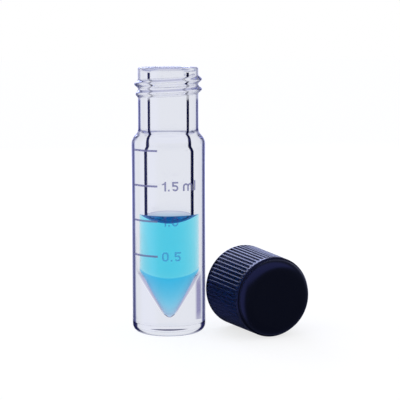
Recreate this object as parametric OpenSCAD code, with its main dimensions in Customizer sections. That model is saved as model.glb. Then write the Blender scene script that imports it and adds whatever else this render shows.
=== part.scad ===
// Glass sample vial with a screw neck and a conical chamber, its blue sample,
// the printed volume scale, and the lined screw cap lying beside it.
// Origin: centre of the vial's flat base. +Z up the vial's axis, -Y its front.

/* [Vial body] */
// Height of the straight body, base to shoulder
body_h = 40.7; // [40.6:0.1:46]
// Outer diameter of the body
body_d = 15.8; // [15:0.1:18]
// Diameter of the chamber
chamber_d = 9.7; // [9:0.1:11]
// Solid glass between the chamber's tip and the base
base_t = 3.4; // [2:0.1:6]
// Rounding of the base's outer edge
base_r = 1.7; // [0.5:0.1:3]
// Half angle of the cone at the bottom of the chamber
cone_angle = 23.5; // [16:0.5:32]
// Radius at which the cone turns to its blunt tip
tip_r = 0.9; // [0.8:0.1:2.4]
// Half angle of the blunt tip
tip_angle = 45; // [38:1:60]
// Rounding of the blunt tip's point and of the turn above it
point_r = 0.5; // [0.2:0.05:1]
// Radius of the blend between the cone and the chamber's wall
cone_blend_r = 3.5; // [1:0.5:8]

/* [Neck] */
// Outer diameter of the neck
neck_d = 12.95; // [12.2:0.05:14]
// Diameter of the neck's bore
neck_bore_d = 8.1; // [7.2:0.1:8.6]
// Length of the neck, shoulder to rim
neck_h = 13.1; // [12:0.1:16]
// Outer rounding of the shoulder
shoulder_r = 2.9; // [1.8:0.1:4]
// Hollow fillet between the shoulder and the neck
shoulder_fillet_r = 1.9; // [1:0.1:3]
// Drop from the top of the shoulder to where the bore starts to widen
throat_drop = 1.6; // [0:0.1:4]
// Length over which the bore widens to the chamber
throat_h = 3.4; // [2.5:0.1:6]
// Rounding of the rim, inside and out
lip_r = 0.45; // [0.1:0.05:0.8]

/* [Neck thread] */
// Height of the thread ridge above the neck
thread_h = 0.78; // [0.4:0.02:0.9]
// Rise of the thread in one turn
thread_pitch = 2.117; // [2:0.01:2.6]
// Width of the ridge at its foot
thread_w = 1.9; // [1.2:0.05:1.9]
// Turns of the thread on the neck
thread_turns = 1.7; // [1:0.05:2.2]
// Drop from the rim to the thread's upper end
thread_drop = 2.25; // [1.9:0.05:3]
// Angle round the neck of the thread's upper end
thread_end_angle = 55; // [0:5:90]
// Angle over which a thread rises to its full height at each end
thread_run_out = 40; // [20:5:90]

/* [Sample] */
// Height of the liquid's edge on the chamber's wall
fill_z = 25.8; // [16:0.05:36]
// Depth of the hollow in the liquid's surface
meniscus_depth = 2; // [0.4:0.05:2.2]
// Clearance between the liquid and the glass
fill_gap = 0.02; // [0.01:0.01:0.1]

/* [Printed scale] */
// Height of the lowest line
mark_first = 17.43; // [12:0.01:17.9]
// Step from line to line
mark_step = 7.47; // [5:0.01:7.6]
// Number of lines
mark_count = 4; // [1:1:4]
// Thickness of a line
mark_t = 0.42; // [0.2:0.02:0.6]
// Angle from the front at which the lines start
mark_from = -68; // [-90:1:-50]
// Angle from the front at which the lines end
mark_to = -17.3; // [-40:0.1:-15]
// Thickness of the printed enamel
print_t = 0.06; // [0.04:0.01:0.15]
// Height of the numerals
numeral_h = 2; // [1.6:0.1:2.4]
// Width of the strokes
stroke = 0.36; // [0.24:0.02:0.46]
// Angle from the front at which the numerals start
numeral_from = -10.5; // [-14:0.5:10]
// Gap between numerals
glyph_gap = 0.4; // [0.2:0.05:0.8]

/* [Cap] */
// Thickness of the cap's wall at its mouth
cap_wall = 1.45; // [1.3:0.05:2.2]
// Draft of the skirt: how much its radius drops from the mouth to the closed end
cap_draft = 0.35; // [0.05:0.05:0.5]
// Length of the skirt up to the edge of the closed end
skirt_h = 14.5; // [13.5:0.1:16]
// Height of the crown above the skirt
crown_h = 2.2; // [0.6:0.1:2.4]
// Width of the step between the skirt and the crown
crown_step = 0.35; // [0.35:0.05:0.6]
// Rounding of the skirt's edge at that step
skirt_edge_r = 0.25; // [0.1:0.05:0.3]
// Diameter of the flat top inside the crown's rounded edge
crown_flat_d = 11.5; // [9:0.5:14]
// Number of ribs round the skirt
rib_count = 60; // [40:1:64]
// Width of the grooves between the ribs
groove_w = 0.5; // [0.3:0.02:0.68]
// Plain band left between the mouth and the grooves
rib_start = 0.4; // [0.2:0.1:1.5]
// Plain band left between the grooves and the closed end
rib_stop = 1.1; // [0.7:0.1:2]
// Thickness of the closed end behind the liner
cap_top_t = 2.7; // [1.6:0.1:3]
// Thickness of the liner
liner_t = 1.5; // [0.8:0.1:2]
// Radial play between the cap and the neck's thread
thread_play = 0.25; // [0.15:0.05:0.4]
// Width of the cap's thread ridge at its foot
cap_thread_w = 1.5; // [1:0.05:1.8]
// Turns of the thread inside the cap
cap_thread_turns = 1.6; // [1:0.1:1.8]

/* [Cap's place] */
// Turn of the cap's axis away from the front
cap_turn = 24.5; // [15:0.5:45]
// Bearing from the vial of the point where the cap comes nearest
cap_bearing = 13.2; // [0:0.1:16]
// Gap between the vial and the cap's nearest point
cap_gap = 0.35; // [0.1:0.05:0.9]

/* [Hidden] */
$fn = 96;
body_r = body_d / 2;
chamber_r = chamber_d / 2;
neck_r = neck_d / 2;
neck_bore_r = neck_bore_d / 2;
shoulder_turn = acos(1 - (body_r - neck_r) / (shoulder_r + shoulder_fillet_r));
neck_z = body_h + (shoulder_r + shoulder_fillet_r) * sin(shoulder_turn);
vial_h = neck_z + neck_h;
throat_top_z = neck_z - throat_drop;
point_z = base_t + point_r;
tip_z = point_z - point_r / sin(tip_angle) + tip_r / tan(tip_angle);
cone_z = tip_z + (chamber_r - tip_r) / tan(cone_angle);
tip_slope = (tip_angle + cone_angle) / 2;
tip_bend_r = point_r / cos((tip_angle - cone_angle) / 2);
blend_h = cone_blend_r * tan(cone_angle / 2);
meniscus_r = chamber_r - fill_gap;
meniscus_bowl_r = (pow(meniscus_r, 2) + pow(meniscus_depth, 2)) / (2 * meniscus_depth);
mark_heights = [for (i = [0 : mark_count - 1]) mark_first + i * mark_step];
digit_w = 0.71 * numeral_h;
one_w = 0.47 * numeral_h;
em_w = 1.2 * numeral_h;
em_h = 0.81 * numeral_h;
el_h = 1.08 * numeral_h;
unit_gap = 2.6 * glyph_gap;
cap_bore_r = neck_r + thread_h + thread_play;
cap_r = cap_bore_r + cap_wall;
cap_top_r = cap_r - cap_draft;
cap_h = skirt_h + crown_h;
cap_depth = cap_h - cap_top_t;
crown_edge_r = cap_top_r - crown_step;
crown_flat_r = crown_flat_d / 2;
crown_reach = crown_edge_r - crown_flat_r;
draft = atan(cap_draft / (skirt_h - skirt_edge_r));
cap_liner_z = cap_depth - liner_t;
cap_thread_z = cap_liner_z - thread_drop - (thread_turns + 0.5) * thread_pitch;
// Clearance between the liner and the cap's bore
liner_gap = 0.05;
// Depth of a thread ridge's foot below its wall, and of its edges' blend into it
thread_bury = 0.5;
thread_sink = 0.08;
// Points that an outline's curves are drawn with
arc_steps = 8;
// Reach of a cut past the faces that it opens
overshoot = 1;

// Points on an oval of half axes rx and ry about [cx, cy] from angle a0 to angle a1
function oval(cx, cy, rx, ry, a0, a1, n = arc_steps) =
    [for (i = [0 : n]) let (a = a0 + (a1 - a0) * i / n) [cx + rx * cos(a), cy + ry * sin(a)]];

function arc(cx, cy, r, a0, a1) = oval(cx, cy, r, r, a0, a1);

// Points on a smooth S-shaped change of radius from one height to another
function s_curve(r0, z0, r1, z1, n = arc_steps) =
    [for (i = [0 : n]) let (t = i / n) [r0 + (r1 - r0) * (1 - cos(180 * t)) / 2, z0 + (z1 - z0) * t]];

function reversed(list) = [for (i = [len(list) - 1 : -1 : 0]) list[i]];

// Outline of the chamber from its tip up to the straight wall, drawn in by a gap
function chamber_foot(gap) = concat(
    arc(0, point_z, point_r - gap, -90, -tip_angle),
    arc(tip_r - tip_bend_r * cos(tip_slope), tip_z + tip_bend_r * sin(tip_slope), point_r - gap,
        -tip_angle, -cone_angle),
    arc(chamber_r - cone_blend_r, cone_z + blend_h, cone_blend_r - gap, -cone_angle, 0));

// Outside of the glass from the middle of the base to the top of the rim
outer_outline = concat(
    [[0, 0]],
    arc(body_r - base_r, base_r, base_r, -90, 0),
    arc(body_r - shoulder_r, body_h, shoulder_r, 0, shoulder_turn),
    arc(neck_r + shoulder_fillet_r, neck_z, shoulder_fillet_r, 180 + shoulder_turn, 180),
    arc(neck_r - lip_r, vial_h - lip_r, lip_r, 0, 90));

// Inside of the glass from the rim down to the chamber's tip
inner_outline = concat(
    arc(neck_bore_r + lip_r, vial_h - lip_r, lip_r, 90, 180),
    s_curve(neck_bore_r, throat_top_z, chamber_r, throat_top_z - throat_h),
    reversed(chamber_foot(0)));

// Helical ridge on a wall of radius r, standing out of it (side 1) or into the
// bore (side -1), rising round +Z and running out at both ends
module thread_ridge(r, height, width, pitch, turns, side) {
    steps = round(turns * 36);
    profile_steps = 6;
    ring = profile_steps + 3;
    function fade(i) = min(1, min(i, steps - i) * 360 * turns / steps / thread_run_out);
    function rise(i) = (height + thread_sink) * fade(i) - thread_sink * (1 - fade(i)) / 2;
    function swell(i, t) = side * (rise(i) * pow(cos(180 * (t - 0.5)), 2) - thread_sink);
    function section(i) = concat(
        [[r - side * thread_bury, -width / 2]],
        [for (j = [0 : profile_steps]) let (t = j / profile_steps)
            [r + swell(i, t), width * (t - 0.5)]],
        [[r - side * thread_bury, width / 2]]);
    points = [for (i = [0 : steps]) let (a = 360 * turns * i / steps)
        for (p = section(i)) [p[0] * cos(a), p[0] * sin(a), p[1] + pitch * a / 360]];
    skin = [for (i = [0 : steps - 1]) for (j = [0 : ring - 1])
        let (k = (j + 1) % ring, a = i * ring, b = a + ring)
        for (f = [[a + j, b + j, b + k], [a + j, b + k, a + k]]) f];
    start_face = [for (j = [0 : ring - 1]) j];
    end_face = [for (j = [ring - 1 : -1 : 0]) steps * ring + j];
    faces = concat(skin, [start_face, end_face]);
    polyhedron(points, side < 0 ? faces : [for (f = faces) reversed(f)]);
}

// One-piece glass: body, shoulder, threaded neck and conical chamber
module vial_body() {
    color([0.87, 0.9, 0.96, 0.4]) union() {
        rotate_extrude() polygon(concat(outer_outline, inner_outline));
        translate([0, 0, vial_h - thread_drop - thread_turns * thread_pitch])
            rotate([0, 0, thread_end_angle - 360 * thread_turns])
                thread_ridge(neck_r, thread_h, thread_w, thread_pitch, thread_turns, 1);
    }
}

// Liquid that fills the cone and stands in the chamber, with a hollow surface
module sample_liquid() {
    color([0.3, 0.78, 0.9, 0.8]) rotate_extrude()
        polygon(concat(
            chamber_foot(fill_gap),
            arc(0, fill_z - meniscus_depth + meniscus_bowl_r, meniscus_bowl_r,
                atan2(meniscus_depth - meniscus_bowl_r, meniscus_r), -90)));
}

// Fused enamel lines, each an arc on the outside of the glass
module graduation_lines() {
    color([0.62, 0.62, 0.74])
        for (z = mark_heights)
            rotate([0, 0, mark_from - 90])
                rotate_extrude(angle = mark_to - mark_from)
                    translate([body_r, z - mark_t / 2]) square([print_t, mark_t]);
}

module half_ring(r) {
    difference() {
        circle(r);
        circle(r - stroke);
        translate([-2 * r, -2 * r]) square([4 * r, 2 * r]);
    }
}

// Numerals, drawn from their lower left corners
module glyph_one() {
    flag_y = 0.72 * numeral_h;
    translate([one_w - stroke, 0]) square([stroke, numeral_h]);
    polygon([[0, flag_y], [one_w, numeral_h], [one_w, numeral_h - stroke],
             [one_w - stroke, flag_y], [0.3 * stroke, flag_y - 0.5 * stroke]]);
}

module glyph_zero() {
    difference() {
        union() {
            for (y = [digit_w / 2, numeral_h - digit_w / 2])
                translate([digit_w / 2, y]) circle(digit_w / 2);
            translate([0, digit_w / 2]) square([digit_w, numeral_h - digit_w]);
        }
        for (y = [digit_w / 2, numeral_h - digit_w / 2])
            translate([digit_w / 2, y]) circle(digit_w / 2 - stroke);
        translate([stroke, digit_w / 2]) square([digit_w - 2 * stroke, numeral_h - digit_w]);
    }
}

module glyph_five() {
    bowl_r = 0.33 * numeral_h;
    stem_x = digit_w - 2 * bowl_r;
    stem_y = 1.6 * bowl_r;
    difference() {
        translate([digit_w - bowl_r, bowl_r]) circle(bowl_r);
        translate([digit_w - bowl_r, bowl_r]) circle(bowl_r - stroke);
        translate([digit_w - 3 * bowl_r, 0.7 * bowl_r]) square([2 * bowl_r, 0.9 * bowl_r]);
    }
    translate([stem_x, stem_y]) square([stroke, numeral_h - stem_y]);
    translate([stem_x, 2 * bowl_r - stroke]) square([bowl_r, stroke]);
    translate([stem_x, numeral_h - stroke]) square([2 * bowl_r, stroke]);
}

module glyph_point() {
    square(stroke);
}

module glyph_em() {
    arch_r = (em_w + stroke) / 4;
    for (x = [arch_r, em_w - arch_r])
        translate([x, em_h - arch_r]) half_ring(arch_r);
    for (x = [0, (em_w - stroke) / 2, em_w - stroke])
        translate([x, 0]) square([stroke, em_h - arch_r]);
}

module glyph_el() {
    square([stroke, el_h]);
}

// Lays a flat glyph on the glass, its left edge at a distance round the body
module print_at(distance, z) {
    intersection() {
        rotate([0, 0, numeral_from + distance / body_r * 180 / PI])
            translate([0, -body_r + overshoot, z - numeral_h / 2])
                rotate([90, 0, 0]) linear_extrude(2 * overshoot) children();
        difference() {
            cylinder(r = body_r + print_t, h = vial_h);
            translate([0, 0, -overshoot]) cylinder(r = body_r, h = vial_h + 2 * overshoot);
        }
    }
}

// Fused enamel numerals: 0.5, 1.0 and 1.5 ml beside the three lower lines
module graduation_numerals() {
    point_after_zero = digit_w + glyph_gap;
    point_after_one = one_w + glyph_gap;
    tenths_after_zero = point_after_zero + stroke + glyph_gap;
    tenths_after_one = point_after_one + stroke + glyph_gap;
    em_at = tenths_after_one + digit_w + unit_gap;
    color([0.62, 0.62, 0.74]) {
        print_at(0, mark_first) glyph_zero();
        print_at(point_after_zero, mark_first) glyph_point();
        print_at(tenths_after_zero, mark_first) glyph_five();
        if (mark_count > 1) {
            print_at(0, mark_heights[1]) glyph_one();
            print_at(point_after_one, mark_heights[1]) glyph_point();
            print_at(tenths_after_one, mark_heights[1]) glyph_zero();
        }
        if (mark_count > 2) {
            print_at(0, mark_heights[2]) glyph_one();
            print_at(point_after_one, mark_heights[2]) glyph_point();
            print_at(tenths_after_one, mark_heights[2]) glyph_five();
            print_at(em_at, mark_heights[2]) glyph_em();
            print_at(em_at + em_w + glyph_gap, mark_heights[2]) glyph_el();
        }
    }
}

// Puts a cap piece, built mouth down on its own axis, where the cap lies: on
// its skirt, closed end to the front, its mouth's edge beside the vial
module lay_cap() {
    touch_r = body_r + cap_gap;
    translate([touch_r * cos(cap_bearing) + cap_r * cos(cap_turn),
               touch_r * sin(cap_bearing) + cap_r * sin(cap_turn),
               cap_r * cos(draft)])
        rotate([0, 0, cap_turn]) rotate([90 + draft, 0, 0]) children();
}

// Grooves that leave the ribs standing on the skirt
module rib_grooves() {
    for (i = [0 : rib_count - 1])
        rotate([0, 0, 360 * (i + 0.5) / rib_count])
            translate([cap_r, 0, 0]) rotate([0, -draft, 0])
                translate([0, 0, rib_start])
                    cylinder(d = groove_w, h = skirt_h - rib_start - rib_stop, $fn = 24);
}

// Moulded cap: ribbed skirt, rounded crown, bore and inner thread
module cap_shell() {
    skirt_edge = arc(cap_top_r - skirt_edge_r, skirt_h - skirt_edge_r, skirt_edge_r, 0, 90);
    crown_outline = oval(crown_flat_r, skirt_h, crown_reach, crown_h, 0, 90);
    color([0.07, 0.07, 0.13]) lay_cap() union() {
        difference() {
            rotate_extrude() polygon(concat(
                [[0, 0], [cap_r, 0]], skirt_edge, crown_outline, [[0, cap_h]]));
            rib_grooves();
            translate([0, 0, -overshoot]) cylinder(r = cap_bore_r, h = cap_depth + overshoot);
        }
        translate([0, 0, cap_thread_z])
            thread_ridge(cap_bore_r, thread_h, cap_thread_w, thread_pitch, cap_thread_turns, -1);
    }
}

// Sealing disc seated against the inside of the closed end
module cap_liner() {
    color([0.86, 0.84, 0.78]) lay_cap()
        translate([0, 0, cap_liner_z]) cylinder(r = cap_bore_r - liner_gap, h = liner_t);
}

vial_body();
sample_liquid();
graduation_lines();
graduation_numerals();
cap_shell();
cap_liner();
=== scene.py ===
"""Glass sample vial with its blue sample, its printed scale and its screw cap. Lengths are in millimetres
until a mesh is made."""
import math

import bpy
from mathutils import Matrix, Vector


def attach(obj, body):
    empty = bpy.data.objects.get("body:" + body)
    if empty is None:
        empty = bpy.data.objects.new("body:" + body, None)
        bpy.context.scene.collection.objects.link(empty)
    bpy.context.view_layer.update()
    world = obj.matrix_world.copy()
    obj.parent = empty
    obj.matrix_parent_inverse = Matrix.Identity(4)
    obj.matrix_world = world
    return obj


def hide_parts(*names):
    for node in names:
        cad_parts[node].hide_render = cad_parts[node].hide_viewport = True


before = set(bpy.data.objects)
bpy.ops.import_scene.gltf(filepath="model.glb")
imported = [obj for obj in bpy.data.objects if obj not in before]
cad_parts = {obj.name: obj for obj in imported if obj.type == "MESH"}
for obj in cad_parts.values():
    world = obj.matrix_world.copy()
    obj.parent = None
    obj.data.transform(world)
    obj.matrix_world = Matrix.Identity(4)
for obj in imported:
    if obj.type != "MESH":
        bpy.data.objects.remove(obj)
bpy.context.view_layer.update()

MM = 0.001

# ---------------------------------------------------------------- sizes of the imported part
# The vial
BODY_H, BODY_R = 40.7, 7.9
CHAMBER_R = 9.7 / 2
BASE_T, BASE_R = 3.4, 1.7
CONE_ANGLE, TIP_ANGLE, TIP_R, POINT_R, CONE_BLEND_R = 23.5, 45.0, 0.9, 0.5, 3.5
NECK_R, NECK_BORE_R, NECK_H = 12.95 / 2, 8.1 / 2, 13.1
SHOULDER_R, SHOULDER_FILLET_R, LIP_R = 2.9, 1.9, 0.45
THROAT_DROP, THROAT_H = 1.6, 3.4
THREAD_H, THREAD_PITCH, THREAD_W, THREAD_TURNS = 0.78, 2.117, 1.9, 1.7
THREAD_DROP, THREAD_END_ANGLE, THREAD_RUN_OUT = 2.25, 55.0, 40.0

# The sample
FILL_Z, MENISCUS_DEPTH = 25.8, 2.0

# The cap
CAP_WALL, CAP_DRAFT, SKIRT_H, CROWN_H = 1.45, 0.35, 14.5, 2.2
CROWN_STEP, SKIRT_EDGE_R, CROWN_FLAT_R = 0.35, 0.25, 5.75
RIB_COUNT, GROOVE_DEPTH, RIB_START, RIB_STOP = 60, 0.25, 0.4, 1.1
CAP_TOP_T, LINER_T, THREAD_PLAY = 2.7, 1.5, 0.25
CAP_THREAD_W, CAP_THREAD_TURNS = 1.5, 1.6
CAP_TURN, CAP_BEARING, CAP_GAP = 24.5, 13.2, 0.35

# Worked out from the sizes above
SHOULDER_TURN = math.degrees(math.acos(1 - (BODY_R - NECK_R) / (SHOULDER_R + SHOULDER_FILLET_R)))
NECK_Z = BODY_H + (SHOULDER_R + SHOULDER_FILLET_R) * math.sin(math.radians(SHOULDER_TURN))
VIAL_H = NECK_Z + NECK_H
THROAT_TOP_Z = NECK_Z - THROAT_DROP
THROAT_Z = THROAT_TOP_Z - THROAT_H
THREAD_Z = VIAL_H - THREAD_DROP - THREAD_TURNS * THREAD_PITCH
CONE, TIP = math.radians(CONE_ANGLE), math.radians(TIP_ANGLE)
POINT_Z = BASE_T + POINT_R
TIP_Z = POINT_Z - POINT_R / math.sin(TIP) + TIP_R / math.tan(TIP)
CONE_Z = TIP_Z + (CHAMBER_R - TIP_R) / math.tan(CONE)
BLEND_H = CONE_BLEND_R * math.tan(CONE / 2)
CAP_BORE_R = NECK_R + THREAD_H + THREAD_PLAY
CAP_R = CAP_BORE_R + CAP_WALL
CAP_TOP_R = CAP_R - CAP_DRAFT
CAP_H = SKIRT_H + CROWN_H
CAP_DEPTH = CAP_H - CAP_TOP_T
CAP_THREAD_Z = CAP_DEPTH - LINER_T - THREAD_DROP - (THREAD_TURNS + 0.5) * THREAD_PITCH
DRAFT_SLOPE = CAP_DRAFT / (SKIRT_H - SKIRT_EDGE_R)
DRAFT = math.atan(DRAFT_SLOPE)

# ---------------------------------------------------------------- what only this scene shapes
# The bore's rounding at the rim, and how far the chamber and the neck's bore lie off the centre
INNER_LIP_R, BODY_BORE_SHIFT, NECK_BORE_SHIFT = 1.1, 0.07, 0.02

# Gap between the sample and the glass
SAMPLE_GAP = 0.012

# Power that rounds the ribs' crests, the length over which a groove runs out at its ends, the
# rounding of the cap's mouth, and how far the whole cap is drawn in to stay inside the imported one
CREST_ROUNDING, RIB_FADE, MOUTH_ROUND, INSET = 3.6, 0.2, 0.18, 0.999

# Points round the vial, round the sample and across one rib
VIAL_STEPS, SAMPLE_STEPS, RIB_STEPS = 256, 192, 14

# A radius that counts as none, and a distance at which two points of an outline are one
NO_RADIUS, SAME_POINT = 1e-6, 1e-4


# ---------------------------------------------------------------- mesh helpers
def arc(cx, cy, r, a0, a1, n):
    """Points on an arc about (cx, cy) from angle a0 to angle a1, in degrees."""
    turns = (math.radians(a0 + (a1 - a0) * i / n) for i in range(n + 1))
    return [(cx + r * math.cos(a), cy + r * math.sin(a)) for a in turns]


def line(a, b, n):
    """n points from a towards b, without a itself."""
    return [(a[0] + (b[0] - a[0]) * i / n, a[1] + (b[1] - a[1]) * i / n) for i in range(1, n + 1)]


def s_curve(r0, z0, r1, z1, n):
    """A smooth S-shaped change of radius from one height to another."""
    swing = [(1 - math.cos(math.pi * i / n)) for i in range(n + 1)]
    return [(r0 + (r1 - r0) * s / 2, z0 + (z1 - z0) * i / n) for i, s in enumerate(swing)]


def tidy(points):
    """The points without those that repeat the one before."""
    kept = [points[0]]
    for p in points[1:]:
        if math.dist(p, kept[-1]) > SAME_POINT:
            kept.append(p)
    return kept


def lathe(name, outline, steps, radius=None, place=None, slot_of=None, shift=None):
    """A closed solid of revolution about Z. radius(r, z, angle, i) may move ring i's points in or out,
    shift(i, z) moves the whole ring along X, and slot_of(i) gives the material slot of the faces
    between ring i and the next."""
    vertices, faces, slots, rings = [], [], [], []
    for i, (r, z) in enumerate(outline):
        across = shift(i, z) if shift else 0.0
        if r < NO_RADIUS:
            rings.append([len(vertices)])
            vertices.append((across, 0.0, z))
            continue
        rings.append(range(len(vertices), len(vertices) + steps))
        for k in range(steps):
            a = 2 * math.pi * k / steps
            rr = radius(r, z, a, i) if radius else r
            vertices.append((across + rr * math.cos(a), rr * math.sin(a), z))
    for i in range(len(rings) - 1):
        low, high = rings[i], rings[i + 1]
        for k in range(steps):
            n = (k + 1) % steps
            if len(low) == 1:
                faces.append((low[0], high[n], high[k]))
            elif len(high) == 1:
                faces.append((low[k], low[n], high[0]))
            else:
                faces.append((low[k], low[n], high[n], high[k]))
            slots.append(slot_of(i) if slot_of else 0)
    place = place or Matrix.Identity(4)
    mesh = bpy.data.meshes.new(name)
    mesh.from_pydata([MM * (place @ Vector(v)) for v in vertices], [], faces)
    mesh.polygons.foreach_set("material_index", slots)
    mesh.polygons.foreach_set("use_smooth", [True] * len(faces))
    mesh.update()
    piece = bpy.data.objects.new(name, mesh)
    bpy.context.scene.collection.objects.link(piece)
    return piece


def ridge(angle, z, start_z, start_angle, turns, width):
    """Height of a helical thread ridge at one place on its wall. It fades in and out at its ends."""
    total = 360 * turns
    a = (math.degrees(angle) - start_angle) % 360
    best = 0.0
    while a <= total:
        off = (z - start_z - THREAD_PITCH * a / 360) / width
        if abs(off) < 0.5:
            fade = min(1.0, a / THREAD_RUN_OUT, (total - a) / THREAD_RUN_OUT)
            fade = fade * fade * (3 - 2 * fade)
            best = max(best, THREAD_H * fade * math.cos(math.pi * off) ** 2)
        a += 360
    return best


# ---------------------------------------------------------------- node helpers
def new_material(name):
    """An empty node material, and its tree."""
    material = bpy.data.materials.new(name)
    material.use_nodes = True
    material.node_tree.nodes.clear()
    return material, material.node_tree


def wire(tree, node, key, value):
    """Links an input to a socket, or gives it a plain value."""
    socket = node.inputs[int(key)] if key.isdigit() else node.inputs[key]
    if isinstance(value, bpy.types.NodeSocket):
        tree.links.new(value, socket)
    else:
        socket.default_value = value


def add(tree, kind, **inputs):
    """A new node of a kind, with plain values or links for its inputs."""
    node = tree.nodes.new(kind)
    for key, value in inputs.items():
        wire(tree, node, key.replace("_", " "), value)
    return node


def shader(tree, kind, **inputs):
    """The output of a new shader node."""
    return add(tree, "ShaderNode" + kind, **inputs).outputs[0]


def maths(tree, operation, *values):
    node = tree.nodes.new("ShaderNodeMath")
    node.operation = operation
    for i, value in enumerate(values):
        wire(tree, node, str(i), value)
    return node.outputs[0]


def product(tree, a, b):
    return maths(tree, "MULTIPLY", a, b)


def ramp(tree, value, stops):
    """A colour ramp through stops of (position, colour)."""
    node = tree.nodes.new("ShaderNodeValToRGB")
    tree.links.new(value, node.inputs[0])
    elements = node.color_ramp.elements
    while len(elements) < len(stops):
        elements.new(0.5)
    for element, (position, colour) in zip(elements, stops):
        element.position = position
        element.color = (*colour, 1)
    return node.outputs[0]


def share(tree, value, stops):
    """A number between 0 and 1 through stops of (position, number)."""
    return ramp(tree, value, [(position, (number, number, number)) for position, number in stops])


def mix_colour(tree, factor, a, b):
    node = tree.nodes.new("ShaderNodeMix")
    node.data_type = "RGBA"
    wire(tree, node, "0", factor)
    for key, value in (("6", a), ("7", b)):
        wire(tree, node, key, value if isinstance(value, bpy.types.NodeSocket) else (*value, 1))
    return node.outputs[2]


def mix_shader(tree, factor, a, b):
    node = tree.nodes.new("ShaderNodeMixShader")
    for key, value in zip("012", (factor, a, b)):
        wire(tree, node, key, value)
    return node.outputs[0]


def mottled(tree, low, high, scale, detail=4.0):
    """A colour that wavers a little between two others."""
    noise = add(tree, "ShaderNodeTexNoise", Scale=scale, Detail=detail)
    return ramp(tree, noise.outputs[0], [(0.3, low), (0.7, high)])


def facing_of(tree):
    """How a surface is met: 0 head on, 1 edge on."""
    return add(tree, "ShaderNodeLayerWeight", Blend=0.5).outputs["Facing"]


def from_within(tree):
    """1 where a surface is met from inside its solid."""
    return tree.nodes.new("ShaderNodeNewGeometry").outputs["Backfacing"]


def height_of(tree):
    """Height above the bench in millimetres."""
    spot = tree.nodes.new("ShaderNodeTexCoord").outputs["Object"]
    return maths(tree, "DIVIDE", add(tree, "ShaderNodeSeparateXYZ", Vector=spot).outputs["Z"], MM)


def tilt_of(tree):
    """How far a surface tilts from upright: 0 on a straight wall, 1 on a level face."""
    normal = tree.nodes.new("ShaderNodeNewGeometry").outputs["Normal"]
    return maths(tree, "ABSOLUTE", add(tree, "ShaderNodeSeparateXYZ", Vector=normal).outputs["Z"])


def thread_zone(tree, amount, closed):
    """An amount on the stretch of the neck that has the thread, and 0 below it. If closed, it is 0
    above the thread as well."""
    soft, below_top = 0.005, 0.4
    foot = 1 - (THREAD_DROP + THREAD_TURNS * THREAD_PITCH + THREAD_W / 2) / VIAL_H
    head = 1 - (THREAD_DROP + below_top) / VIAL_H
    stops = [(foot - soft, 0), (foot + soft, amount)]
    if closed:
        stops += [(head - soft, amount), (head + soft, 0)]
    return share(tree, maths(tree, "DIVIDE", height_of(tree), VIAL_H), stops)


# ---------------------------------------------------------------- colours
GLASS_IOR, SAMPLE_IOR = 1.5, 1.33
# NAVY and the third colour here are painted shade for the glass's bore and the corner of its foot
CLEAR, NAVY, CORNER_DARK = (1, 1, 1), (0.002, 0.003, 0.035), (0.03, 0.03, 0.12)

# Light that passes the glass as shadow, and a painted reflection: the dark blue that the cap mirrors in
# place of the glass
SHADED_GLASS, MIRRORED_GLASS = (0.95, 0.95, 0.96, 1), (0.12, 0.16, 0.5)

# Painted shade in the glass, by how it is met: dark lines that stand for the dark room seen at the
# vial's edge, painted contact shadow seen through the corner of its foot and through its base, and
# the dark room that its bore mirrors
EDGE_SHADE = [(0.55, CLEAR), (0.585, (0.9, 0.92, 0.97)), (0.62, (0.3, 0.31, 0.52)),
             (0.68, (0.115, 0.12, 0.27)), (0.73, (0.12, 0.125, 0.27)), (0.80, (0.33, 0.34, 0.52)),
             (0.88, (0.7, 0.72, 0.88)), (1.0, CLEAR)]
# Painted shadow: the dark at the foot's corner stands for the contact shadow under the vial
CORNER_SHADE = [(0.50, CLEAR), (0.57, CORNER_DARK), (0.80, CORNER_DARK), (0.95, CLEAR)]
BASE_SHADOW = [(0.816, CLEAR), (0.832, (0.12, 0.12, 0.22))]
BORE_SHADE = [(0.225, CLEAR), (0.245, NAVY), (0.312, NAVY), (0.322, CLEAR)]

# Height of the foot's corner, the tilt that tells the base from it, and where glass starts to
# mirror from within
CORNER_H, BASE_TILT, MIRRORS_FROM = 2.4, 0.6, 0.257

# By the wall's tilt: how far it belongs to the corner, and how far the painted edge shade fades. Where
# the neck has its thread, the painted edge shade and the painted bore shade fade by fixed amounts
CORNER_TILT, FADE_TILT = ((0.5, 1), (0.75, 0)), ((0.1, 0), (0.4, 0.45), (0.8, 0.8))
EDGE_IN_THREAD, BORE_IN_THREAD = 0.5, 0.6

# Painted shade on the cone: a deeper blue that stands for the sample's blue shadow on the bench behind,
# seen through the cone, by height as a share of the cone's. The more edge on the cone is met, the
# lower its boundary lies, by CONE_LEAN. CONE_REACH scales the height to the ramp, and the tint ends
# where the cone is met too much edge on
CONE_LEAN, CONE_REACH, CONE_EDGE = -0.33, 0.5, ((0.48, 0), (0.56, 1))
CONE_SHADOW_TINT = [(0.13, (0.68, 0.77, 0.92)), (0.22, (0.58, 0.8, 0.96)), (0.40, (0.45, 0.77, 0.97)),
             (0.442, (0.40, 0.78, 0.98)), (0.456, CLEAR)]

# The sample, and the painted shade of its surface as it is met from below: a dark crescent that stands
# for the shadowed bench it mirrors
DYE, DYE_DENSITY = (0.013, 0.873, 0.959, 1), 230.0
MENISCUS_SHADE = [(0.31, CLEAR), (0.36, (0.35, 0.36, 0.62))]

# The enamel, the light through it, and the share of that light where it is plain and where faint
ENAMEL_LOW, ENAMEL_HIGH = (0.34, 0.34, 0.56), (0.42, 0.42, 0.66)
ENAMEL_THROUGH, ENAMEL_PLAIN, ENAMEL_FAINTER = (0.8, 0.8, 0.93, 1), 0.48, 0.46

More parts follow.
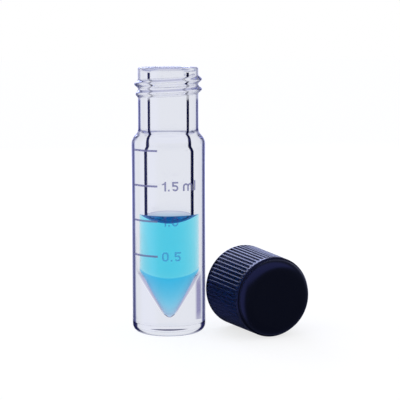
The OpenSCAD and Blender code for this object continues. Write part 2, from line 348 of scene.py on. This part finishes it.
# The cap and the liner
CAP_BLACK, CAP_GLOSS = (0.0042, 0.0048, 0.0065, 1), (0.58, 0.64, 1.0, 1)
CAP_ROUGH_LOW, CAP_ROUGH_HIGH = (0.25, 0.25, 0.25), (0.29, 0.29, 0.29)
CAP_DULL_EDGE = ((0.75, 0), (0.95, 0.55))
LINER_LOW, LINER_HIGH = (0.74, 0.72, 0.66), (0.82, 0.8, 0.75)

# The studio: white as the camera sees it, from low to high as the glass shows it with a band low
# on the left, dark with a glow and a lit field as the cap mirrors it, and as plain light
WHITE, BACKDROP, LEFT_BAND = (1, 1, 1), (0.79, 0.81, 0.88), (0.27, 0.26, 0.47)
LOW_TO_HIGH = [(0.06, (0.36, 0.37, 0.54)), (0.15, (0.45, 0.47, 0.64)), (0.21, (0.48, 0.50, 0.66)),
               (0.25, (0.58, 0.59, 0.73)), (0.29, (0.68, 0.69, 0.79)), (0.335, BACKDROP),
               (0.70, BACKDROP), (0.82, (0.55, 0.56, 0.72)), (0.95, (0.5, 0.5, 0.68))]
ROOM_DARK, ROOM_GLOW, ROOM_LIT = (0.05, 0.06, 0.14), (0.38, 0.41, 1.1), (0.7, 0.72, 1.1)
ROOM_LIGHT = (0.85, 0.86, 0.9)
PAPER, PAPER_GLOW, NO_GLOW = (0.3, 0.3, 0.31, 1), (0.738, 0.738, 0.735), (0.0, 0.0, 0.0)


# ---------------------------------------------------------------- materials
def clear(tree, facing):
    """No tint, however the glass is met."""
    return CLEAR


def clear_glass(name, ior, from_outside, from_inside, mirrored=None, foot=None):
    """Glass whose colour follows how it is met, from the outside and from within. A piece that mirrors it
    may see another colour, a painted reflection, and foot(tree, facing, inside) may lay a flat line of
    painted shadow over a part of it."""
    material, tree = new_material(name)
    facing, inside = facing_of(tree), from_within(tree)
    colour = mix_colour(tree, inside, from_outside(tree, facing), from_inside(tree, facing))
    rays = tree.nodes.new("ShaderNodeLightPath").outputs
    # Painted reflection: rays off the cap see the glass in a fixed dark blue
    if mirrored:
        bounced = maths(tree, "SUBTRACT", rays["Is Glossy Ray"], rays["Is Transmission Ray"])
        outside = maths(tree, "MAXIMUM", maths(tree, "SUBTRACT", bounced, inside), 0.0)
        colour = mix_colour(tree, outside, colour, mirrored)
    glass = shader(tree, "BsdfGlass", Color=colour, Roughness=0.0, IOR=ior)
    soft = maths(tree, "MAXIMUM", rays["Is Shadow Ray"], rays["Is Diffuse Ray"])
    both = mix_shader(tree, soft, glass, shader(tree, "BsdfTransparent", Color=SHADED_GLASS))
    if foot:
        amount, colour = foot(tree, facing, inside)
        both = mix_shader(tree, amount, both, shader(tree, "BsdfTransparent", Color=colour))
    add(tree, "ShaderNodeOutputMaterial", Surface=both)
    return material


def outer_glass():
    """A painted shade: the outside turns to a dark violet line where it is met nearly edge on, standing
    for the dark room seen at the glass's edge. The line fades where the wall slopes, and a thin painted
    contact shadow shows on the flat base, seen through the foot."""
    def edge(tree, facing):
        low = maths(tree, "LESS_THAN", height_of(tree), CORNER_H)
        corner = product(tree, low, share(tree, tilt_of(tree), CORNER_TILT))
        # Painted shade: the dark edge, and at the foot's corner a painted contact shadow
        line = mix_colour(tree, corner, ramp(tree, facing, EDGE_SHADE), ramp(tree, facing, CORNER_SHADE))
        fade = share(tree, tilt_of(tree), FADE_TILT)
        fade = product(tree, fade, maths(tree, "SUBTRACT", 1.0, corner))
        fade = maths(tree, "MAXIMUM", fade, thread_zone(tree, EDGE_IN_THREAD, closed=False))
        return mix_colour(tree, fade, line, CLEAR)

    # Painted shadow: a thin dark line on the flat base stands for the contact shadow under the vial
    def foot(tree, facing, inside):
        low = maths(tree, "LESS_THAN", height_of(tree), BASE_R)
        level = maths(tree, "GREATER_THAN", tilt_of(tree), BASE_TILT)
        mirroring = maths(tree, "GREATER_THAN", facing, MIRRORS_FROM)
        amount = product(tree, product(tree, low, level), product(tree, mirroring, inside))
        return amount, ramp(tree, facing, BASE_SHADOW)

    return clear_glass("clear_glass", GLASS_IOR, edge, clear, MIRRORED_GLASS, foot)


def bore_glass():
    """A painted shade: the dry bore shows as a near-black line just past the angle at which it starts to
    mirror, standing for the dark room it mirrors there. The line breaks up behind the thread."""
    def edge(tree, facing):
        thread = thread_zone(tree, BORE_IN_THREAD, closed=True)
        return mix_colour(tree, thread, ramp(tree, facing, BORE_SHADE), CLEAR)

    return clear_glass("clear_glass_bore", GLASS_IOR, clear, edge)


def wetted_glass():
    """Where the sample lies against the glass. The cone is painted a deeper blue than the chamber above
    it, a painted shadow that stands for the sample's blue shadow on the bench, seen through the cone.
    """
    def deeper(tree, facing):
        up = maths(tree, "DIVIDE", height_of(tree), CONE_Z)
        up = product(tree, maths(tree, "MULTIPLY_ADD", facing, CONE_LEAN, up), CONE_REACH)
        edge = share(tree, facing, CONE_EDGE)
        return mix_colour(tree, edge, ramp(tree, up, CONE_SHADOW_TINT), CLEAR)

    return clear_glass("clear_glass_wetted", GLASS_IOR / SAMPLE_IOR, clear, deeper)


def liquid_material():
    """Dyed water. Only its open surface bends light: the wetted glass does so for the rest."""
    material, tree = new_material("blue_sample")
    top = add(tree, "ShaderNodeAttribute")
    top.attribute_name = "open_surface"
    # Painted shade: seen from below, the open surface darkens to a crescent
    colour = mix_colour(tree, from_within(tree), CLEAR, ramp(tree, facing_of(tree), MENISCUS_SHADE))
    water = shader(tree, "BsdfGlass", Color=colour, Roughness=0.0, IOR=SAMPLE_IOR)
    both = mix_shader(tree, top.outputs["Fac"], shader(tree, "BsdfTransparent"), water)
    dye = shader(tree, "VolumeAbsorption", Color=DYE, Density=DYE_DENSITY)
    add(tree, "ShaderNodeOutputMaterial", Surface=both, Volume=dye)
    return material


def enamel_material(name, faint_below):
    """Thin translucent enamel: the light from behind comes through it. Below a height it is fainter."""
    material, tree = new_material(name)
    solid = shader(tree, "BsdfPrincipled", Roughness=0.45,
                   Base_Color=mottled(tree, ENAMEL_LOW, ENAMEL_HIGH, scale=2500.0, detail=3.0))
    through = shader(tree, "BsdfTransparent", Color=ENAMEL_THROUGH)
    low = maths(tree, "LESS_THAN", height_of(tree), faint_below)
    amount = maths(tree, "MULTIPLY_ADD", low, ENAMEL_FAINTER, ENAMEL_PLAIN)
    add(tree, "ShaderNodeOutputMaterial", Surface=mix_shader(tree, amount, solid, through))
    return material


def cap_material():
    """Black moulded plastic with a cold gloss that dulls where it is met nearly edge on."""
    material, tree = new_material("black_cap")
    gloss = shader(tree, "BsdfPrincipled", Base_Color=CAP_BLACK, Specular_IOR_Level=0.5,
                   Specular_Tint=CAP_GLOSS,
                   Roughness=mottled(tree, CAP_ROUGH_LOW, CAP_ROUGH_HIGH, scale=900.0))
    dull = shader(tree, "BsdfDiffuse", Color=CAP_BLACK)
    edge = share(tree, facing_of(tree), CAP_DULL_EDGE)
    add(tree, "ShaderNodeOutputMaterial", Surface=mix_shader(tree, edge, gloss, dull))
    return material


def liner_material():
    """Pale foam."""
    material, tree = new_material("liner")
    foam = shader(tree, "BsdfPrincipled", Roughness=0.6,
                  Base_Color=mottled(tree, LINER_LOW, LINER_HIGH, scale=1500.0))
    add(tree, "ShaderNodeOutputMaterial", Surface=foam)
    return material


# ---------------------------------------------------------------- the vial
def chamber_foot(gap):
    """Outline of the chamber from its tip up to the straight wall, drawn in by a gap."""
    point = arc(0, POINT_Z, POINT_R - gap, -90, -TIP_ANGLE, 8)
    slope, bend_r = (TIP + CONE) / 2, POINT_R / math.cos((TIP - CONE) / 2)
    turn = arc(TIP_R - bend_r * math.cos(slope), TIP_Z + bend_r * math.sin(slope), POINT_R - gap,
               -TIP_ANGLE, -CONE_ANGLE, 6)
    blend = arc(CHAMBER_R - CONE_BLEND_R, CONE_Z + BLEND_H, CONE_BLEND_R - gap, -CONE_ANGLE, 0, 12)
    return ([(0.0, point[0][1])] + point[1:] + line(point[-1], turn[0], 4) + turn[1:]
            + line(turn[-1], blend[0], 10) + blend[1:])


def bore_shift(z):
    """The chamber and the bore are blown a little off the outside's centre."""
    up = min(1.0, max(0.0, (z - THROAT_Z) / THROAT_H))
    return BODY_BORE_SHIFT + (NECK_BORE_SHIFT - BODY_BORE_SHIFT) * up


def make_vial():
    """The glass in one closed mesh, from the base's centre over the outside and the rim to the tip."""
    thread_low = THREAD_Z - THREAD_W / 2
    outside = [(0.0, 0.0)] + line((0, 0), (BODY_R - BASE_R, 0), 6)
    outside += arc(BODY_R - BASE_R, BASE_R, BASE_R, -90, 0, 14)
    outside += line((BODY_R, BASE_R), (BODY_R, BODY_H), 8)
    outside += arc(BODY_R - SHOULDER_R, BODY_H, SHOULDER_R, 0, SHOULDER_TURN, 14)
    outside += arc(NECK_R + SHOULDER_FILLET_R, NECK_Z, SHOULDER_FILLET_R, 180 + SHOULDER_TURN, 180, 12)
    outside += line((NECK_R, NECK_Z), (NECK_R, thread_low), 4)
    outside += line((NECK_R, thread_low), (NECK_R, VIAL_H - LIP_R), 64)
    outside += arc(NECK_R - LIP_R, VIAL_H - LIP_R, LIP_R, 0, 90, 7)
    inner_lip = arc(NECK_BORE_R + INNER_LIP_R, VIAL_H - INNER_LIP_R, INNER_LIP_R, 90, 180, 12)
    dry = line((NECK_BORE_R, VIAL_H - INNER_LIP_R), (NECK_BORE_R, THROAT_TOP_Z), 4)
    dry += s_curve(NECK_BORE_R, THROAT_TOP_Z, CHAMBER_R, THROAT_Z, 20)
    dry += line((CHAMBER_R, THROAT_Z), (CHAMBER_R, FILL_Z), 4)
    outline = tidy(outside + inner_lip + dry + list(reversed(chamber_foot(0.0))))

    inner_from = outline.index(min(outline, key=lambda p: math.dist(p, inner_lip[0])))
    bore_from = inner_from + len(inner_lip) - 1
    wet_from = min(range(inner_from, len(outline)),
                   key=lambda i: abs(outline[i][1] - FILL_Z) + abs(outline[i][0] - CHAMBER_R))

    def radius(r, z, a, i):
        if i >= inner_from or z < thread_low or r < NECK_R - NO_RADIUS:
            return r
        start_angle = THREAD_END_ANGLE - 360 * THREAD_TURNS
        return r + ridge(a, z, THREAD_Z, start_angle, THREAD_TURNS, THREAD_W)

    def slot_of(i):
        return 2 if i >= wet_from else 1 if i >= bore_from else 0

    def shift(i, z):
        return bore_shift(z) if i > inner_from else 0.0

    vial = lathe("vial_glass", outline, VIAL_STEPS, radius, slot_of=slot_of, shift=shift)
    for material in (outer_glass(), bore_glass(), wetted_glass()):
        vial.data.materials.append(material)
    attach(vial, "root")
    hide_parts("vial_body")


def make_liquid():
    """The sample, a hair inside the glass. The faces of its hollow top carry a mark for the material."""
    rim_r = CHAMBER_R - SAMPLE_GAP
    bowl_r = (rim_r ** 2 + MENISCUS_DEPTH ** 2) / (2 * MENISCUS_DEPTH)
    edge = math.degrees(math.atan2(MENISCUS_DEPTH - bowl_r, rim_r))
    side = chamber_foot(SAMPLE_GAP) + line((rim_r, CONE_Z + BLEND_H), (rim_r, FILL_Z), 6)
    surface = arc(0, FILL_Z - MENISCUS_DEPTH + bowl_r, bowl_r, edge, -90, 24)
    surface[-1] = (0.0, surface[-1][1])
    outline = tidy(side + surface)
    top_from = len(outline) - len(surface)
    liquid = lathe("blue_sample", outline, SAMPLE_STEPS, shift=lambda i, z: bore_shift(z))
    mark = liquid.data.attributes.new("open_surface", "FLOAT", "FACE")
    marks = [float(i >= top_from) for i in range(len(outline) - 1) for _ in range(SAMPLE_STEPS)]
    mark.data.foreach_set("value", marks)
    liquid.data.materials.append(liquid_material())
    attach(liquid, "root")
    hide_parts("sample_liquid")


# ---------------------------------------------------------------- the cap
def cap_place():
    """The cap lies on its skirt beside the vial, with its mouth to the back."""
    touch = BODY_R + CAP_GAP
    bearing, turn = math.radians(CAP_BEARING), math.radians(CAP_TURN)
    spot = Vector((touch * math.cos(bearing) + CAP_R * math.cos(turn),
                   touch * math.sin(bearing) + CAP_R * math.sin(turn), CAP_R * math.cos(DRAFT)))
    aside = Matrix.Rotation(turn, 4, "Z")
    over = Matrix.Rotation(math.pi / 2 + DRAFT, 4, "X")
    return Matrix.Translation(spot) @ aside @ over


def make_cap():
    """The cap in one closed mesh, from the inside's centre over the mouth and the ribs to the crown."""
    outer_lip = CAP_R - DRAFT_SLOPE * MOUTH_ROUND
    rib_end = SKIRT_H - RIB_STOP
    thread_low = CAP_THREAD_Z - CAP_THREAD_W / 2
    thread_high = CAP_THREAD_Z + CAP_THREAD_TURNS * THREAD_PITCH + CAP_THREAD_W / 2
    inside = [(0.0, CAP_DEPTH)] + line((0.0, CAP_DEPTH), (CAP_BORE_R, CAP_DEPTH), 3)
    inside += line((CAP_BORE_R, CAP_DEPTH), (CAP_BORE_R, thread_high), 2)
    inside += line((CAP_BORE_R, thread_high), (CAP_BORE_R, thread_low), 36)
    inside += line((CAP_BORE_R, thread_low), (CAP_BORE_R, MOUTH_ROUND), 2)
    mouth = arc(CAP_BORE_R + MOUTH_ROUND, MOUTH_ROUND, MOUTH_ROUND, 180, 270, 4)
    mouth += arc(outer_lip - MOUTH_ROUND, MOUTH_ROUND, MOUTH_ROUND, -90, 0, 4)
    heights = [RIB_START + RIB_FADE * i / 4 for i in range(5)]
    heights += [rib_end / 2] + [rib_end - RIB_FADE * i / 4 for i in range(4, -1, -1)]
    skirt = [(CAP_R - DRAFT_SLOPE * z, z) for z in heights]
    edge = arc(CAP_TOP_R - SKIRT_EDGE_R, SKIRT_H - SKIRT_EDGE_R, SKIRT_EDGE_R, 0, 90, 6)
    reach = CAP_TOP_R - CROWN_STEP - CROWN_FLAT_R
    crown = [(CROWN_FLAT_R + reach * x, SKIRT_H + CROWN_H * y) for x, y in arc(0, 0, 1, 0, 90, 18)]
    crown += line((CROWN_FLAT_R, CAP_H), (0, CAP_H), 6)
    outline = tidy(inside + mouth + skirt + edge + crown)
    mouth_from = len(tidy(inside))
    skirt_from = mouth_from + len(tidy(mouth))
    rib_rings = range(skirt_from - 1, skirt_from + len(skirt) + 1)

    def radius(r, z, a, i):
        if i < mouth_from - 1:
            if abs(r - CAP_BORE_R) > NO_RADIUS:
                return r
            return r - ridge(a, z, CAP_THREAD_Z, 0, CAP_THREAD_TURNS, CAP_THREAD_W)
        if i not in rib_rings:
            return r
        fade = min(1.0, max(0.0, min(rib_end - z, z - RIB_START) / RIB_FADE))
        depth = GROOVE_DEPTH * math.sqrt(1 - (1 - fade) ** 2)
        return r - depth * abs(math.sin(RIB_COUNT * a / 2)) ** CREST_ROUNDING

    middle = Matrix.Translation((0, 0, CAP_H / 2))
    place = cap_place() @ middle @ Matrix.Scale(INSET, 4) @ middle.inverted()
    cap = lathe("screw_cap", outline, RIB_COUNT * RIB_STEPS, radius, place=place)
    cap.data.materials.append(cap_material())
    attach(cap, "root")
    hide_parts("cap_shell")


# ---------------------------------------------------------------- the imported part's own meshes
def dress(node, material):
    """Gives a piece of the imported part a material, and leaves its mesh as it is."""
    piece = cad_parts[node]
    piece.material_slots[0].material = material
    return piece


def dress_cad_nodes():
    """The liner and the prints. The numerals are fainter over the sample, and the lines never are."""
    dress("cap_liner", liner_material())
    dress("graduation_lines", enamel_material("white_enamel_lines", 0.0))
    dress("graduation_numerals", enamel_material("white_enamel_numerals", FILL_Z))


# ---------------------------------------------------------------- the studio
def make_camera():
    """The camera that was fitted to the outlines of the vial and the cap."""
    spot = Vector((0.0, -298.83, 64.59)) * MM
    yaw, pitch, roll = math.radians(1.301), math.radians(6.87), math.radians(-0.102)
    focal_px, photo_px, sensor = 1393.1, 400, 36
    forward = Vector((math.sin(yaw) * math.cos(pitch), math.cos(yaw) * math.cos(pitch), -math.sin(pitch)))
    right = Vector((math.cos(yaw), -math.sin(yaw), 0))
    up = right.cross(forward)
    across = right * math.cos(roll) + up * math.sin(roll)
    above = up * math.cos(roll) - right * math.sin(roll)
    camera = bpy.data.objects.new("camera", bpy.data.cameras.new("camera"))
    camera.data.lens = focal_px * sensor / photo_px
    camera.data.sensor_width = sensor
    camera.data.clip_start = 0.01
    turn = Matrix((across, above, -forward)).transposed().to_4x4()
    camera.matrix_world = Matrix.Translation(spot) @ turn
    bpy.context.scene.collection.objects.link(camera)
    bpy.context.scene.camera = camera


def seen_through(tree, side, up):
    """The studio through the glass: a pale backdrop that darkens low down and overhead, with a violet
    band low on the left."""
    left = share(tree, side, ((0.10, 0), (0.135, 1), (0.19, 1), (0.225, 0)))
    low = share(tree, up, ((0.37, 0), (0.39, 1), (0.41, 1), (0.42, 0)))
    return mix_colour(tree, product(tree, left, low), ramp(tree, up, LOW_TO_HIGH), LEFT_BAND)


def seen_mirrored(tree, side, depth, up):
    """The studio off the cap: a dark room that glows overhead and at the front left, with a lit field
    behind the vial."""
    level = share(tree, up, ((0.40, 0), (0.44, 1), (0.60, 1), (0.66, 0.25), (0.90, 0.25)))
    behind = share(tree, depth, ((0.30, 0), (0.70, 1)))
    not_right = share(tree, side, ((0.64, 1), (0.78, 0.2)))
    front = share(tree, depth, ((0.0, 1), (0.3, 0)))
    left = share(tree, side, ((0.12, 1), (0.26, 0)))
    overhead = share(tree, up, ((0.66, 0), (0.78, 1)))
    glow = maths(tree, "MAXIMUM", product(tree, overhead, front), product(tree, left, front))
    room = mix_colour(tree, glow, ROOM_DARK, ROOM_GLOW)
    lit = product(tree, level, product(tree, behind, not_right))
    return mix_colour(tree, lit, room, ROOM_LIT)


def make_world():
    """A white backdrop for the camera, and the studio as the glass and the cap meet it. side and up run
    from 0 to 1, left to right and down to up. depth runs from -1 at the camera to 1 behind the vial."""
    world = bpy.data.worlds.new("studio")
    world.use_nodes = True
    tree = world.node_tree
    tree.nodes.clear()
    rays = tree.nodes.new("ShaderNodeLightPath").outputs
    way = tree.nodes.new("ShaderNodeTexCoord").outputs["Generated"]
    across, depth, height = add(tree, "ShaderNodeSeparateXYZ", Vector=way).outputs
    side = maths(tree, "MULTIPLY_ADD", across, 0.5, 0.5)
    up = maths(tree, "MULTIPLY_ADD", height, 0.5, 0.5)
    colour = mix_colour(tree, rays["Is Glossy Ray"], ROOM_LIGHT, seen_mirrored(tree, side, depth, up))
    colour = mix_colour(tree, rays["Is Transmission Ray"], colour, seen_through(tree, side, up))
    colour = mix_colour(tree, rays["Is Camera Ray"], colour, WHITE)
    light = shader(tree, "Background", Color=colour, Strength=1.0)
    add(tree, "ShaderNodeOutputWorld", Surface=light)
    bpy.context.scene.world = world


def make_floor():
    """Pale paper for the camera and the shadows. The glass and the cap meet the world in its place."""
    mesh = bpy.data.meshes.new("floor")
    reach = 3.0
    corners = [(-reach, -reach, 0), (reach, -reach, 0), (reach, reach, 0), (-reach, reach, 0)]
    mesh.from_pydata(corners, [], [(0, 1, 2, 3)])
    floor = bpy.data.objects.new("floor", mesh)
    bpy.context.scene.collection.objects.link(floor)
    material, tree = new_material("floor")
    rays = tree.nodes.new("ShaderNodeLightPath").outputs
    paper = shader(tree, "BsdfDiffuse", Color=PAPER)
    glow = shader(tree, "Emission", Strength=1.0,
                  Color=mix_colour(tree, rays["Is Camera Ray"], NO_GLOW, PAPER_GLOW))
    both = tree.nodes.new("ShaderNodeAddShader")
    wire(tree, both, "0", paper)
    wire(tree, both, "1", glow)
    add(tree, "ShaderNodeOutputMaterial", Surface=both.outputs[0])
    mesh.materials.append(material)
    floor.visible_glossy = False
    floor.visible_transmission = False


def make_lamp():
    """A soft cold lamp high behind the vial. It isn't seen through the glass."""
    spot, target, size = Vector((-78, 365, 215)), Vector((10, 0, 15)), 200
    lamp = bpy.data.objects.new("key", bpy.data.lights.new("key", "AREA"))
    lamp.data.size = size * MM
    lamp.data.energy = 0.55
    lamp.data.color = (0.6, 0.66, 1.0)
    lamp.location = spot * MM
    lamp.rotation_mode = "QUATERNION"
    lamp.rotation_quaternion = (target - spot).to_track_quat("-Z", "Y")
    lamp.visible_transmission = False
    bpy.context.scene.collection.objects.link(lamp)


make_camera()
make_world()
make_floor()
make_lamp()
make_vial()
make_liquid()
make_cap()
dress_cad_nodes()
bpy.context.scene.view_settings.view_transform = "Standard"
for bounces in ("max_bounces", "glossy_bounces", "transmission_bounces"):
    setattr(bpy.context.scene.cycles, bounces, 32)
